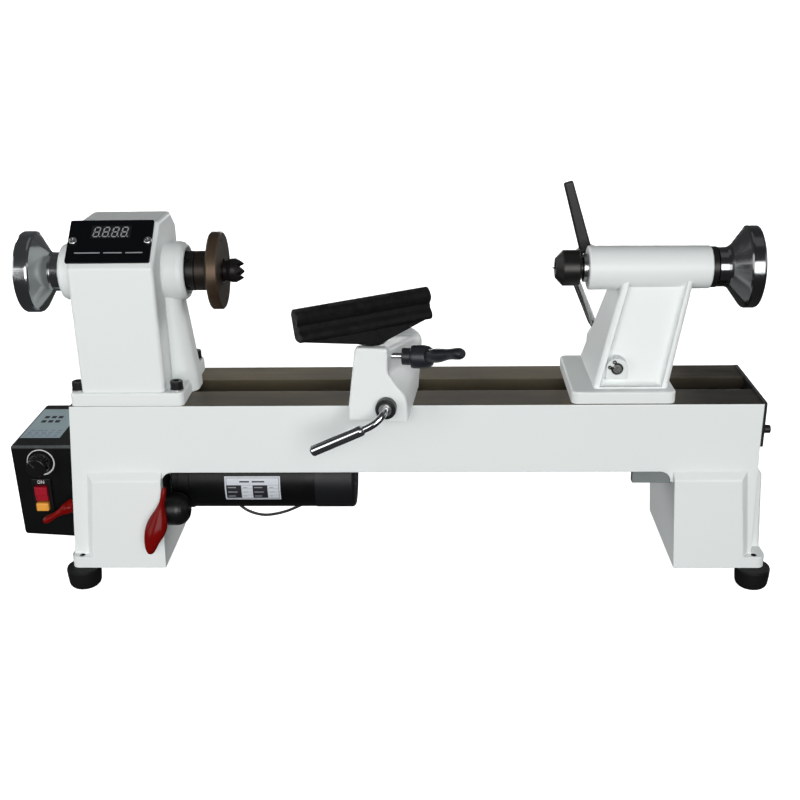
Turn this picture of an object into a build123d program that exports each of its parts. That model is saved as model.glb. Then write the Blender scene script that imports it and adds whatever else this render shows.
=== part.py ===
"""Variable-speed bench wood lathe: cast bed on two integral legs, belt headstock, sliding tool rest, tailstock.
Millimetres. X runs along the bed towards the tailstock, Y away from the operator, Z up from the bench."""
import math
import os

from build123d import *

os.makedirs("parts", exist_ok=True)

# ---- driving dimensions -------------------------------------------------
FOOT_H = 22.0            # rubber foot height
LEG_H = 184.0            # leg underside to bed top
BED_L = 708.8            # bed length along the ways
BED_W = 120.0            # bed width
BED_D = 75.0             # bed rail depth
SLOT_W = 36.0            # gap between the ways
CENTRE_H = 127.0         # spindle axis above the bed
B = FOOT_H + LEG_H       # bed top above the bench
S = B + CENTRE_H         # spindle axis above the bench
HX = BED_L / 2
HY = BED_W / 2
LUG_Y = 63.2             # bench bolt holes either side of the spindle plane
SLIDE_GAP = 0.35         # sliding piece above the ways
RUN = 0.06               # radial running clearance

WHEEL_R = 41.8           # handwheel rim
PLATE_R = 39.9           # faceplate
BOSS_R = 30.5            # headstock bearing boss
BARREL_R = 22.5          # tailstock barrel, front end
QUILL_R = 14.5
SP_PULLEY_R = 30.0
MO_PULLEY_R = 15.0
MOTOR_R = 36.0
MOTOR_Z = B - 104.0
REST_L = 146.0           # tool rest blade
REST_TURN = 32.0         # tool rest turned from the bed line
BANJO_TURN = -6.0        # tool rest base turned about its clamp bolt
BANJO_X = -14.7          # clamp bolt of the tool rest base
BANJO_SHAFT_Z = B + 16.0
TAIL_SHAFT_X = 206.3
TAIL_SHAFT_Z = B + 33.6
TAIL_PAD_Y = -45.5       # front face of the tailstock's clamp boss


# ---- helpers ------------------------------------------------------------
def bx(x0, x1, y0, y1, z0, z1):
    return Pos((x0 + x1) / 2, (y0 + y1) / 2, (z0 + z1) / 2) * Box(abs(x1 - x0), abs(y1 - y0), abs(z1 - z0))


def cx(x0, x1, y, z, r):
    return Pos((x0 + x1) / 2, y, z) * Rot(0, 90, 0) * Cylinder(r, abs(x1 - x0))


def cy(y0, y1, x, z, r):
    return Pos(x, (y0 + y1) / 2, z) * Rot(90, 0, 0) * Cylinder(r, abs(y1 - y0))


def cz(z0, z1, x, y, r):
    return Pos(x, y, (z0 + z1) / 2) * Cylinder(r, abs(z1 - z0))


def rx(x0, x1, y, z, ro, ri):
    return cx(x0, x1, y, z, ro) - cx(min(x0, x1) - 1, max(x0, x1) + 1, y, z, ri)


def ry(y0, y1, x, z, ro, ri):
    return cy(y0, y1, x, z, ro) - cy(min(y0, y1) - 1, max(y0, y1) + 1, x, z, ri)


def rz(z0, z1, x, y, ro, ri):
    return cz(z0, z1, x, y, ro) - cz(min(z0, z1) - 1, max(z0, z1) + 1, x, y, ri)


def pxz(pts, y0, y1):
    return extrude(make_face(Polyline(*[(a, y0, b) for a, b in pts], close=True)), amount=abs(y1 - y0), dir=(0, 1, 0))


def pyz(pts, x0, x1):
    return extrude(make_face(Polyline(*[(x0, a, b) for a, b in pts], close=True)), amount=abs(x1 - x0), dir=(1, 0, 0))


def pxy(pts, z0, z1):
    return extrude(make_face(Polyline(*[(a, b, z0) for a, b in pts], close=True)), amount=abs(z1 - z0), dir=(0, 0, 1))


def turned(pts, z):
    """Profile of (x, r) pairs turned about the X line at height z."""
    return Pos(0, 0, z) * revolve(make_face(Polyline(*[(a, 0, b) for a, b in pts], close=True)), axis=Axis.X)


def soft(s, pick, r):
    """Fillet the picked edges, stepping down if the largest radius does not fit."""
    for k in (1.0, 0.7, 0.45):
        try:
            e = pick(s)
            if len(e) == 0:
                return s
            out = fillet(e, r * k)
            if out.is_valid and out.volume > 0:
                return out
        except Exception:
            continue
    return s


def rod(pts, r):
    """Round bar along a smooth line through the points."""
    path = Spline(*pts)
    return sweep(Plane(path @ 0, z_dir=path % 0) * Circle(r), path=path)


def limb(stations):
    """Rounded arm: (point, direction, half width, half thickness) sections lofted with a domed end."""
    faces = []
    for p, d, a, b in stations:
        faces.append(Plane(p, x_dir=(1, 0, 0), z_dir=d) * Ellipse(a, b))
    return loft(faces)


def save(shape, name):
    export_step(shape, "parts/" + name + ".step")


def along(axis, lo=None, hi=None):
    return lambda s: s.edges().filter_by(axis)


# ---- bed ----------------------------------------------------------------
def bed():
    s = bx(-HX, HX, -HY, HY, B - BED_D, B)
    s += pxz([(-HX, B), (-368.6, B - 171), (-368.6, B - LEG_H), (-268.7, B - LEG_H), (-265.4, B - BED_D), (-265.4, B)], -HY, HY)
    s += pxz([(HX, B), (HX, B - 52), (355.4, B - 77), (358, B - LEG_H), (274.7, B - LEG_H), (268.3, B - BED_D), (268.3, B)], -HY, HY)
    for sg, xa, xb in ((-1, 265.6, 268.7), (1, 268.5, 274.7)):
        for sy in (-1, 1):
            inner = make_face(Polyline((sg * 345.2, sy * 59, B - 74.2), (sg * 355.7, sy * 59, B - LEG_H), (sg * xb, sy * 59, B - LEG_H), (sg * xa, sy * 59, B - 74.2), close=True))
            outer = make_face(Polyline((sg * 338.2, sy * 68, B - 81.5), (sg * 348.7, sy * 68, B - LEG_H), (sg * xb, sy * 68, B - LEG_H), (sg * xa, sy * 68, B - 81.5), close=True))
            face = loft([inner, outer], ruled=True)
            face = soft(face, lambda q: q.edges().filter_by(lambda e: abs(e.center().Y) > 67.9 and e.center().Z > B - LEG_H + 1 and (e.center().Z > B - 82 or abs(e.center().X) > 335)), 3.0)
            s += face
            lug = bx(sg * 338, sg * 371, sy * 44, sy * 68, B - LEG_H, B - 171)
            lug = soft(lug, lambda q: q.edges().filter_by(Axis.Z).filter_by(lambda e: abs(e.center().X) > 370 and abs(e.center().Y) > 67), 8.0)
            s += lug
    end = pxz([(350, B - 80), (361.5, B - 80), (365.5, B - 86), (371, B - 171), (371, B - LEG_H), (350, B - LEG_H)], -44, 44)
    s += soft(end, lambda q: q.edges().filter_by(lambda e: abs(e.center().Y) > 43.9 and e.center().X > 362), 4.0)
    s += bx(227, 272, -57, -45, B - 89, B - 70) + bx(227, 272, 45, 57, B - 89, B - 70)
    for sg in (-1, 1):
        for sy in (-1, 1):
            corner = bx(sg * 254.6, sg * 269.6, sy * 45, sy * HY, B - 86.5, B - BED_D + 1)
            s += corner - cy(sy * 44, sy * (HY + 1), sg * 254.6, B - 86.5, 11.5)
    # hollow underside
    s -= bx(-263.6, 262, -48, 48, B - 90, B - 14)
    s -= pxz([(-344, B - 14), (-356, B - LEG_H - 1), (-283, B - LEG_H - 1), (-276, B - 14)], -48, 48)
    s -= pxz([(344, B - 14), (347, B - LEG_H - 1), (283, B - LEG_H - 1), (276, B - 14)], -48, 48)
    for xr in (20, 165):
        s += bx(xr - 5, xr + 5, -49, 49, B - BED_D, B - 52)
    # gap between the ways, open at the tail end under the end plate
    s -= bx(-262, HX + 1, -SLOT_W / 2, SLOT_W / 2, B - 15, B + 1)
    s -= bx(262, HX + 20, -30, 30, B - 45, B - 13)
    s -= bx(-262, 345, -30, 30, B - 45, B - 13.9)
    s -= bx(255, 345, -37, 37, B - 45, B - 13.9)
    # belt window under the headstock, motor shaft window in the left leg
    s -= bx(-319, -281, -42, 42, B - 15, B + 1)
    s -= bx(-292, -258, -26, 26, B - 134, B - 78)
    # headstock bolts, lug holes, pivots
    for xx in (-345.4, -243.6):
        for yy in (-49, 49):
            s -= cz(B - 20, B + 1, xx, yy, 4.0)
    for sg in (-1, 1):
        for sy in (-1, 1):
            s -= cz(B - LEG_H - 1, B - 165, sg * 359.5, sy * LUG_Y, 2.9)
    s -= cx(-288, -258, 46, MOTOR_Z, 5.0)
    s -= cx(-292, -258, -56, B - 119, 5.0)
    s -= cx(-292, -258, 38, MOTOR_Z - 14, 5.0)
    s -= cx(-372, -345, -52, B - 116, 4.0 + RUN)
    for yy in (-52, 52):
        s -= cx(340, 356, yy, B - 30.6, 2.5)
    s = soft(s, lambda q: q.edges().filter_by(Axis.X).filter_by(lambda e: abs(abs(e.center().Y) - HY) < 0.1 and abs(e.center().Z - B) < 0.1), 1.5)
    return s


save(bed(), "bed")

plate = bx(HX, HX + 3, -59.5, 59.5, B - 48, B + 0.8)
plate = soft(plate, along(Axis.X), 2.0)
for yy in (-52, 52):
    plate -= cx(HX - 1, HX + 4, yy, B - 30.6, 2.5)
save(plate, "end_plate")
scr = []
for yy in (-52, 52):
    q = cx(HX - 10, HX + 3, yy, B - 30.6, 2.5) + cx(HX + 3, HX + 4.2, yy, B - 30.6, 5.2)
    q += soft(cx(HX + 4.0, HX + 10.5, yy, B - 30.6, 4.3), lambda t: t.edges().filter_by(lambda e: e.center().X > HX + 10), 0.7)
    q -= cx(HX + 7.5, HX + 11, yy, B - 30.6, 2.1)
    scr.append(q)
save(Compound(children=scr), "end_plate_screws")

feet = []
for sg in (-1, 1):
    for sy in (-1, 1):
        f = Pos(sg * 359.5, sy * LUG_Y, 0) * revolve(make_face(Polyline((2.9, 0, 0), (12.5, 0, 0), (14.6, 0, 0.7), (16.2, 0, 2.4), (17.1, 0, 5), (17.9, 0, 13), (18.2, 0, 20), (17.6, 0, FOOT_H), (2.9, 0, FOOT_H), close=True)), axis=Axis.Z)
        feet.append(f)
save(Compound(children=feet), "rubber_feet")

# ---- headstock ----------------------------------------------------------
SEC = [(-56.5, B + 10), (-58, B + 144), (-16.5, B + 182), (36, B + 182), (56, B + 165), (56.5, B + 10)]
HL, HR = -340.6, -254.5    # headstock sides


def headstock():
    body = pyz(SEC, HL, HR)
    body = soft(body, lambda q: q.edges().filter_by(lambda e: e.center().X < HL + 0.01 and e.center().Z > B + 181), 10.0)
    body = soft(body, lambda q: q.edges().filter_by(lambda e: e.center().Z > B + 20 and (abs(e.center().X - HR) < 0.01 or (abs(e.center().X - HL) < 0.01 and e.center().Z < B + 175) or (abs(e.tangent_at(0.5).X) > 0.99 and e.center().Z > B + 100 and e.length > 60 and not (e.center().Z > B + 181.9 and e.center().Y > -16 and e.center().Y < 35.5)))), 4.0)
    fl = bx(-352.6, -235.5, -59.5, 59.5, B, B + 14)
    fl = soft(fl, lambda q: q.edges().filter_by(Axis.Z), 5.5)
    fl = soft(fl, lambda q: q.edges().filter_by(lambda e: e.center().Z > B + 13.9), 2.5)
    s = body + fl
    boss_r = turned([(-258, 0), (-258, BOSS_R), (-239.5, BOSS_R), (-235, BOSS_R - 1.2), (-232.6, BOSS_R - 3.2), (-232, BOSS_R - 4.3), (-232, 0)], S)
    boss_l = turned([(-334, 0), (-334, 29), (-357, 29), (-360, 27.5), (-361, 25.5), (-361, 0)], S)
    rib_r = pxz([(-258, S - 12), (-240, S - 14), (-239.5, S - 31), (-233.2, B + 44), (-229.6, B + 14), (-229.2, B), (-258, B)], -20, 20)
    rib_r = soft(rib_r, lambda q: q.edges().filter_by(lambda e: abs(e.center().Y) > 19.9 and e.center().X > -242), 13.0)
    rib_l = pxz([(-334, S - 12), (-354, S - 14), (-350, B + 44), (-349, B + 12), (-334, B + 12)], -20, 20)
    rib_l = soft(rib_l, lambda q: q.edges().filter_by(lambda e: abs(e.center().Y) > 19.9 and e.center().X < -346), 11.0)
    s += boss_r + boss_l + rib_r + rib_l
    s -= pyz([(-48, B - 1), (-48, B + 139), (-10, B + 172), (33, B + 172), (47, B + 160), (47, B - 1)], -328, -265)
    s -= cx(-362, -352, 0, S, 17) + cx(-352, -327, 0, S, 21)
    s -= cx(-266, -240, 0, S, 26) + cx(-240, -231, 0, S, 24.6)
    for xx in (-345.4, -243.6):
        for yy in (-49, 49):
            s -= cz(B - 1, B + 15, xx, yy, 4.0)
            s -= cz(B + 14, B + 36, xx, yy, 7.4)
    # display window in the sloped face
    s -= PANEL * Pos(-300.5, 42.7, -8) * Box(42, 18, 30)
    for px, ps in PLATE_SCREWS:
        s -= PANEL * Pos(px, ps, -4) * Cylinder(1.6, 12)
    # belt door opening and hinge lugs at the back
    s -= bx(-322, -272, 44, 60, B + 42, B + 130)
    for z0 in (B + 48, B + 114):
        lug = bx(-333.4, -326.6, 54, 61, z0, z0 + 8) + cz(z0, z0 + 8, -330, 61, 3.4)
        s += lug
    s -= cz(B + 40, B + 124, -330, 61, 1.6 + RUN)
    return s


SL = math.hypot(41.5, 38)
PANEL = Plane(origin=(0, -58, B + 144), x_dir=(1, 0, 0), z_dir=(0, -38 / SL, 41.5 / SL))
PLATE_SCREWS = ((-337.0, 31.8), (-262.1, 31.8))
save(headstock(), "headstock")

dp = PANEL * Pos(-300.4, 31.6, 1.0) * Box(84.0, 50.4, 2.0)
dp = soft(dp, lambda q: q.edges().filter_by(lambda e: abs(e.length - 2.0) < 0.05), 2.0)
dp -= PANEL * Pos(-300.5, 42.7, 1.0) * Box(40, 15.4, 4)
for px, ps in PLATE_SCREWS:
    dp -= PANEL * Pos(px, ps, 1) * Cylinder(1.6, 6)
save(dp, "display_plate")
dm = PANEL * Pos(-300.5, 42.7, -3.1) * Box(39.8, 15.2, 9.6)
dm += PANEL * Pos(-300.5, 42.7, -9.4) * Box(41.5, 17.5, 3)
save(dm, "display_module")
ds = []
for px, ps in PLATE_SCREWS:
    q = PANEL * Pos(px, ps, -2) * Cylinder(1.6, 8)
    h = Pos(0, 0, 3.0) * Cylinder(4.1, 2.0)
    h = soft(h, lambda t: t.edges().filter_by(lambda e: e.center().Z > 3.9), 1.3)
    h -= Pos(0, 0, 3.8) * (Box(4.4, 0.9, 1.6) + Box(0.9, 4.4, 1.6))
    ds.append(q + PANEL * Pos(px, ps, 0) * h)
save(Compound(children=ds), "display_screws")

hb, hw = [], []
for xx in (-345.4, -243.6):
    for yy in (-49, 49):
        hd = cz(B + 15.6, B + 24, xx, yy, 6.5)
        hd = soft(hd, lambda t: t.edges().filter_by(lambda e: e.center().Z > B + 23.5), 0.9)
        hd -= Pos(xx, yy, B + 22.2) * extrude(RegularPolygon(3.4, 6), amount=3)
        hb.append(hd + cz(B - 20, B + 15.7, xx, yy, 4.0))
        hw.append(rz(B + 14, B + 15.6, xx, yy, 7.0, 4.0))
save(Compound(children=hb + hw), "headstock_bolts")

ring_r = rx(-255, -240, 0, S, 26, 22) + rx(-253.5, -241.5, 0, S, 22.5, 17)
ring_l = rx(-352, -340, 0, S, 21, 17.5) + rx(-350.5, -341.5, 0, S, 18, 14.5)
save(Compound(children=[ring_r, ring_l]), "spindle_bearings")

# belt door
door = soft(bx(-326.0, -266, 57.4, 60.2, B + 36, B + 142), along(Axis.Y), 5.0)
door += bx(-330, -324, 58.6, 60.2, B + 58, B + 112) + cz(B + 58, B + 112, -330, 61, 3.4)
door += cz(B + 47, B + 123, -330, 61, 1.6)
kn = soft(cy(60, 70, -275, B + 136, 6.5), lambda t: t.edges().filter_by(lambda e: e.center().Y > 69.5), 1.5)
save(door + kn, "belt_door")

# ---- spindle ------------------------------------------------------------
spd = turned([(-392, 4.75), (-392, 10), (-336, 10), (-336, 12.5), (-224, 12.5), (-224, 12.2), (-199, 12.2), (-199, 8.9), (-262, 7.2), (-262, 4.75)], S)
save(spd + rx(-255, -240, 0, S, 16.5, 12) + rx(-352, -340, 0, S, 14, 9.5), "spindle")
prof = [(-313, 12.5), (-313, 33), (-308.4, 33), (-307.6, 30)]
x = -307.0
for i in range(6):
    prof += [(x + 0.3, 30), (x + 1.17, 28), (x + 2.04, 30)]
    x += 2.33
prof += [(-292.4, 30), (-291.6, 33), (-287, 33), (-287, 19), (-277, 19), (-277, 12.5)]
save(turned(prof, S), "spindle_pulley")
col = rx(-238.5, -223.6, 0, S, 20.4, 12.5)
col = soft(col, lambda t: t.edges().filter_by(lambda e: e.radius > 20 if e.geom_type == GeomType.CIRCLE else False), 0.8)
for k in range(4):
    a = math.radians(45 + 90 * k)
    col -= Pos(0, 0, S) * Rot(45 + 90 * k, 0, 0) * Pos(-230, 0, 19) * Cylinder(2.2, 6)
save(col, "spindle_collar")
fp = turned([(-223.4, 12.2), (-223.4, 19.6), (-222.7, 20.3), (-213, 20.3), (-210, 21.5), (-207.5, 25), (-207.5, 38.6), (-206.2, 39.9), (-197, 39.9), (-195.7, 38.6), (-195.7, 12.2)], S)
for k in range(4):
    a = math.radians(90 * k + 96)
    fp -= cx(-209, -194, 31 * math.cos(a), S + 31 * math.sin(a), 2.2)
save(fp, "faceplate")
dc = turned([(-262, 0), (-262, 7.2), (-199, 8.9), (-196.4, 8.9), (-195.2, 9.6), (-195.2, 10.4), (-191.8, 10.6), (-187.4, 12.2), (-182.8, 12.4), (-175.6, 8.7), (-175.6, 7.4), (-182.4, 6.8), (-182.4, 3.2), (-178.6, 3.0), (-174.6, 0)], S)
for k in range(6):
    w = extrude(make_face(Polyline((-174.9, 5.2, -4.2), (-174.9, 5.2, 4.2), (-182.2, 5.2, 0), close=True)), amount=10, dir=(0, 1, 0))
    dc -= Pos(0, 0, S) * Rot(60 * k + 9, 0, 0) * w
save(dc, "drive_center")
hwp = [(-362.3, 10), (-362.3, 19), (-363.3, 20), (-371.5, 20), (-373.5, 21), (-385.4, 40.0), (-386.8, 41.3), (-388.5, 41.8), (-399.6, 41.8), (-401.2, 40.9), (-401.8, 39.3), (-401.8, 37.4), (-400.2, 36.2), (-391, 35), (-382, 20), (-392, 18.2), (-392, 10)]
save(turned(hwp, S), "headstock_handwheel")

# drive belt: flat ribbed band round both pulleys
def loop(ra, rb, x0, x1):
    d = S - MOTOR_Z
    sn = (ra - rb) / d
    cs = math.sqrt(1 - sn * sn)
    t = pyz([(ra * cs, S - ra * sn), (rb * cs, MOTOR_Z - rb * sn), (-rb * cs, MOTOR_Z - rb * sn), (-ra * cs, S - ra * sn)], x0, x1)
    return t + cx(x0, x1, 0, S, ra) + cx(x0, x1, 0, MOTOR_Z, rb)


save(loop(SP_PULLEY_R + 4.2, MO_PULLEY_R + 4.2, -307, -293) - loop(SP_PULLEY_R + 0.4, MO_PULLEY_R + 0.4, -308, -292), "drive_belt")

# ---- motor --------------------------------------------------------------
LEAD_R = 1.6             # motor lead
LEAD = [(-106, 22, -37), (-128, 21, -48), (-150, 20, -58), (-174, 20, -62.5), (-195, 21, -56), (-210, 25, -41.5), (-222, 31, -27.5), (-238, 36.5, -18), (-255, 38, -14)]
LEAD = [Vector(a, b, c + MOTOR_Z) for a, b, c in LEAD]


br = cx(-262, -256, 0, MOTOR_Z, 38)
br += pyz([(0, MOTOR_Z + 37.8), (46, MOTOR_Z + 12.5), (46, MOTOR_Z - 12.5), (0, MOTOR_Z - 37.8)], -262, -256) + cx(-262, -256, 46, MOTOR_Z, 12.5)
br -= cx(-263, -255, 46, MOTOR_Z, 5.0 + RUN) + cx(-263, -255, 0, MOTOR_Z, 10)
br -= cx(-263, -255, 38, MOTOR_Z - 14, LEAD_R + 0.8)
save(br, "motor_bracket")
bell = soft(cx(-256, -244, 0, MOTOR_Z, 37), lambda t: t.edges().filter_by(lambda e: e.center().X > -245), 1.0)
bell -= cx(-257, -243, 0, MOTOR_Z, 6.0 + RUN)
mag = []
for k in (0, 180):
    m = rx(-228, -122, 0, MOTOR_Z, 33, 27.5)
    m &= Pos(0, 0, MOTOR_Z) * Rot(k, 0, 0) * Pos(-175, 30, 0) * Box(120, 60, 44)
    mag.append(m)
save(bell + rx(-244.5, -108, 0, MOTOR_Z, MOTOR_R, 32.5) + mag[0] + mag[1], "motor_can")
rear = cx(-108, -65, 0, MOTOR_Z, MOTOR_R + 0.5)
rear = soft(rear, lambda t: t.edges().filter_by(lambda e: e.center().X > -66), 4.5)
rear -= cx(-109, -70, 0, MOTOR_Z, 32.5)
rear += cx(-84, -69, 0, MOTOR_Z, 13)
rear -= cx(-90, -73, 0, MOTOR_Z, 6.0 + RUN)
for k in range(12):
    rear -= Pos(0, 0, MOTOR_Z) * Rot(30 * k, 0, 0) * Pos(-66, 0, 22) * Box(12, 3.2, 11)
d0 = (LEAD[1] - LEAD[0]).normalized()
rear += Plane(LEAD[0] - d0 * 19, z_dir=d0) * Pos(0, 0, 9.5) * Cylinder(4.2, 19) - cx(-108.5, -70, 0, MOTOR_Z, 32.5)
save(rear, "motor_end_cover")
arm = cx(-224, -126, 0, MOTOR_Z, 26.4)
for k in range(12):
    arm -= Pos(0, 0, MOTOR_Z) * Rot(30 * k, 0, 0) * Pos(-175, 0, 23.5) * Box(120, 3, 7)
save(arm + cx(-120, -98, 0, MOTOR_Z, 15) + cx(-312, -76, 0, MOTOR_Z, 6), "motor_armature")
prof = [(-311, 6), (-311, 18.6), (-308.4, 18.6), (-307.6, 15)]
x = -307.0
for i in range(6):
    prof += [(x + 0.3, 15), (x + 1.17, 13), (x + 2.04, 15)]
    x += 2.33
prof += [(-292.4, 15), (-291.6, 18.6), (-289, 18.6), (-289, 12), (-281, 12), (-281, 6)]
save(turned(prof, MOTOR_Z), "motor_pulley")

# lead from the motor's gland to the leg, hanging in a loop under the motor
runs = [(LEAD[i + 1] - LEAD[i]) for i in range(len(LEAD) - 1)]
radii = []
for i in range(len(runs) - 1):
    half = math.radians(runs[i].get_angle(runs[i + 1])) / 2
    radii.append(0.45 * min(runs[i].length, runs[i + 1].length) / math.tan(half))
path = FilletPolyline(*LEAD, radius=radii)
lead = sweep(Plane(path @ 0, z_dir=path % 0) * Circle(LEAD_R), path=path)
print("lead radii", [round(v, 1) for v in radii], "length", round(path.length, 1), "volume ratio", round(lead.volume / (math.pi * LEAD_R ** 2 * path.length), 4))
save(lead, "motor_lead")

# belt tension lever on the leg's inner face
TY, TZ = -56.0, B - 119.0
hub = Pos(0, TY, 0) * turned([(-263, 5.0 + RUN), (-263, 17.5), (-252.5, 17.5), (-249.4, 17.0), (-246.2, 15.7), (-243.4, 13.6), (-241.2, 11.0), (-240.2, 9.0), (-240.0, 8.4), (-249.5, 8.4), (-249.5, 5.0 + RUN)], TZ)
save(hub, "tension_hub")
piv_t = cx(-290, -249.0, TY, TZ, 5.0) + soft(cx(-249.1, -243.0, TY, TZ, 7.4), lambda t: t.edges().filter_by(lambda e: e.center().X > -243.5), 1.6)
piv_m = cx(-286, -251, 46, MOTOR_Z, 5.0) + soft(cx(-255.6, -249, 46, MOTOR_Z, 8.5), lambda t: t.edges().filter_by(lambda e: e.center().X > -250), 0.8)
save(Compound(children=[piv_t, piv_m]), "leg_pivots")
tl = limb([((-260.8, -73.4, B - 86.0), (-0.05, -0.05, -1), 1.6, 1.6), ((-261.2, -73.6, B - 88.5), (-0.1, -0.05, -1), 2.6, 2.6), ((-264.6, -75.4, B - 104), (-0.2, -0.2, -1), 3.4, 4.0), ((-268.2, -77.6, B - 118.5), (-0.22, -0.3, -1), 8.8, 6.4), ((-271.4, -82, B - 129.5), (-0.3, -0.25, -1), 11.0, 6.6), ((-275.8, -85.0, B - 141.0), (-0.33, -0.15, -1), 8.6, 5.8), ((-278.4, -86.4, B - 152), (-0.28, -0.1, -1), 5.2, 4.2), ((-279.2, -86.8, B - 156), (-0.25, -0.1, -1), 2.4, 2.2)])
tl -= cx(-270, -230, TY, TZ, 17.5)
save(tl, "tension_lever")

# motor lock lever on the left end of the bed
LY, LZ = -52.0, B - 116.0
ll = turned([(-365.2, 0), (-365.2, 5.4), (-366.0, 6.2), (-370.5, 6.2), (-373.0, 4.0), (-373.0, 0)], 0)
ll = Pos(0, LY, LZ) * ll
ll += limb([((-367.4, LY - 0.6, LZ - 0.6), (-0.86, -0.2, -0.47), 5.2, 5.0), ((-379.0, LY - 2.8, LZ - 6.6), (-0.86, -0.2, -0.47), 4.5, 4.3), ((-392.0, LY - 5.4, LZ - 13.6), (-0.86, -0.2, -0.47), 3.7, 3.5), ((-396.6, LY - 6.3, LZ - 16.1), (-0.86, -0.2, -0.47), 3.3, 3.1), ((-398.6, LY - 6.7, LZ - 17.2), (-0.86, -0.2, -0.47), 1.8, 1.7)])
ll -= bx(-365.2, -330, LY - 20, LY + 20, LZ - 20, LZ + 20)
save(ll + cx(-366, -347, LY, LZ, 4.0), "motor_lock_lever")


# ---- control box --------------------------------------------------------
def left_face(d, off=0.0):
    return -HX - 14.2 * d / 171.0 - off


cb = pxz([(-433, B - 54), (left_face(54, 0.4), B - 54), (left_face(164.5, 0.4), B - 164.5), (-430.6, B - 160.5)], -36, 82)
cb = soft(cb, lambda q: q.edges().filter_by(lambda e: e.center().X < -375 and (abs(e.center().Y + 36) < 0.1 or e.center().X < -425)), 4.0)
cb -= pxz([(-429.6, B - 57.5), (left_face(57.5, 3.6), B - 57.5), (left_face(160.8, 3.6), B - 160.8), (-427.4, B - 157)], -32.5, 83)
KX, KZ = -401.5, B - 73.5
SX, SZ2 = -403.4, B - 113.5
cb -= cy(-40, -30, KX, KZ, 3.6)
cb -= bx(SX - 9, SX + 9, -40, -30, SZ2 - 15.6, SZ2 + 15.6)
cb += cz(B - 174, B - 158.5, -398, 55, 9)
cb -= cz(B - 177, B - 150, -398, 55, 3.6)
save(cb, "control_box")
cov = pxz([(-429.3, B - 57.8), (left_face(57.8, 3.9), B - 57.8), (left_face(160.4, 3.9), B - 160.4), (-427.2, B - 156.6)], 79, 81.8)
for xx, zz in ((-422, B - 66), (-374, B - 66), (-420, B - 148), (-382, B - 148)):
    cov += cy(70, 81.8, xx, zz, 1.8) + soft(cy(81.0, 84, xx, zz, 3.6), lambda t: t.edges().filter_by(lambda e: e.center().Y > 83.9), 1.0)
save(cov, "control_box_cover")
sink = bx(-419, -389, 10, 20.4, B - 136, B - 96)
for i in range(6):
    sink -= bx(-417.5 + 5 * i, -415 + 5 * i, 9, 16, B - 137, B - 95)
save(bx(-426, -378, 20, 21.6, B - 146, B - 66) + sink, "control_board")
pot = cy(-32.4, -18, KX, KZ, 9.0) + cy(-40.5, -32.5, KX, KZ, 3.5)
save(pot - cy(-42, -20, KX, KZ, 3.0 + RUN), "speed_potentiometer")
knb = revolve(make_face(Polyline((0, -53, 0), (9.6, -53, 0), (10.6, -52, 0), (11.2, -42.5, 0), (11.8, -40.5, 0), (11.8, -37.0, 0), (0, -37.0, 0), close=True)), axis=Axis.Y)
knb = Pos(KX, 0, KZ) * knb
for k in range(20):
    knb -= Pos(KX, 0, KZ) * Rot(0, 18 * k, 0) * Pos(0, -47.5, 11.6) * Rot(90, 0, 0) * Cylinder(0.9, 11.2)
knb -= Pos(KX, -53, KZ) * Rot(0, -40, 0) * Pos(0, 0, 6) * Box(1.4, 1.0, 8)
knb -= cy(-41.2, -36, KX, KZ, 4.2)
save(knb + cy(-45, -22, KX, KZ, 3.0), "speed_knob")
bz = bx(SX - 10.2, SX + 10.6, -39.4, -36, SZ2 - 16.6, SZ2 + 22.0)
bz = soft(bz, lambda q: q.edges().filter_by(lambda e: e.center().Y < -36.5), 1.2)
bz += bx(SX - 9, SX + 9, -37, -14, SZ2 - 15.6, SZ2 + 15.6)
bz -= bx(SX - 7.2, SX + 7.2, -41, -24, SZ2 - 15.0, SZ2 + 14.8)
bz -= cx(SX - 8.8, SX + 8.8, -37.7, SZ2, 1.2 + RUN)
save(bz, "switch_housing")
rk = pyz([(-34, SZ2 - 4.0), (-41.2, SZ2 - 4.0), (-43.4, SZ2 + 5), (-43.0, SZ2 + 13.4), (-31, SZ2 + 13.4)], SX - 6.8, SX + 6.8)
rk = soft(rk, lambda q: q.edges().filter_by(lambda e: e.center().Y < -40), 0.9)
save(rk + cx(SX - 8.5, SX + 8.5, -37.7, SZ2, 1.2), "switch_rocker")
ky = bx(SX - 6.9, SX + 6.9, -44.6, -39.8, SZ2 - 14.6, SZ2 - 5.0)
ky = soft(ky, lambda q: q.edges().filter_by(lambda e: e.center().Y < -41), 1.6)
ky += bx(SX - 5, SX + 5, -40, -30, SZ2 - 12.6, SZ2 - 6.8)
save(ky, "switch_key")

# ---- tool rest base -----------------------------------------------------
BF = Pos(BANJO_X, 0, 0) * Rot(0, 0, BANJO_TURN)
PX, PY = -15.7, -86.5       # post bore in the base's own frame
FRONT = -104.0
LOCK_Z = B + 62.3          # post lock stud


def front_outline(y, top):
    """Front outline of the base: slanting left side, right side flaring out in an S towards the foot."""
    z0 = B + SLIDE_GAP
    low = Polyline((1.6, y, B + top), (-30.5 + (75 - top) * -0.125, y, B + top), (-38, y, B + 15), (-38, y, z0), (20.4, y, z0), (20.4, y, B + 12))
    flare = Spline((20.4, y, B + 12), (19.7, y, B + 20), (16.6, y, B + 29), (10.5, y, B + 36.2), (4.4, y, B + 45), (1.6, y, B + 56), tangents=[(0, 0, 1), (0, 0, 1)])
    return make_face([*low.edges(), flare, Line((1.6, y, B + 56), (1.6, y, B + top))])


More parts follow.
